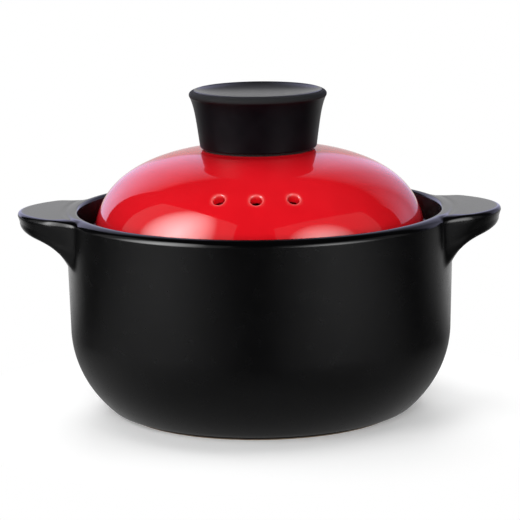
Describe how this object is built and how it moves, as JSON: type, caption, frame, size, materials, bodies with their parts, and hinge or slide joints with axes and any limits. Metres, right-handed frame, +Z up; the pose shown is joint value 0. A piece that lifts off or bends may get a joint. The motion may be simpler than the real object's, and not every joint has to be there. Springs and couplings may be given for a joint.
{
  "type": "cooking pot",
  "caption": "Black stoneware cooking pot with lug ears and a red domed lid with steam holes and a screwed-on knob.",
  "frame": {"origin": "middle of the foot ring's underside, on the surface that the pot stands on", "axes": "+Z up along the pot's axis, +X towards the right ear, -Y towards the front with the steam holes"},
  "size_m": [0.262, 0.21, 0.1755],
  "materials": {
    "black_glaze": "satin black glaze",
    "red_glaze": "gloss red glaze",
    "knob_resin": "fine matt black",
    "silicone": "matt black",
    "brass": "turned",
    "stainless": "bright"
  },
  "bodies": {
    "pot": {"pot_body": "black_glaze", "left_ear": "black_glaze", "right_ear": "black_glaze"},
    "lid": {"lid": "red_glaze", "knob": "knob_resin", "knob_gasket": "silicone", "knob_insert": "brass", "knob_screw": "stainless", "steel_washer": "stainless", "silicone_washer": "silicone"}
  },
  "joints": [
    {"name": "lid_lift", "type": "slide", "parent": "pot", "child": "lid", "axis": [0, 0, 1], "range_m": [0, 0.16]}
  ]
}
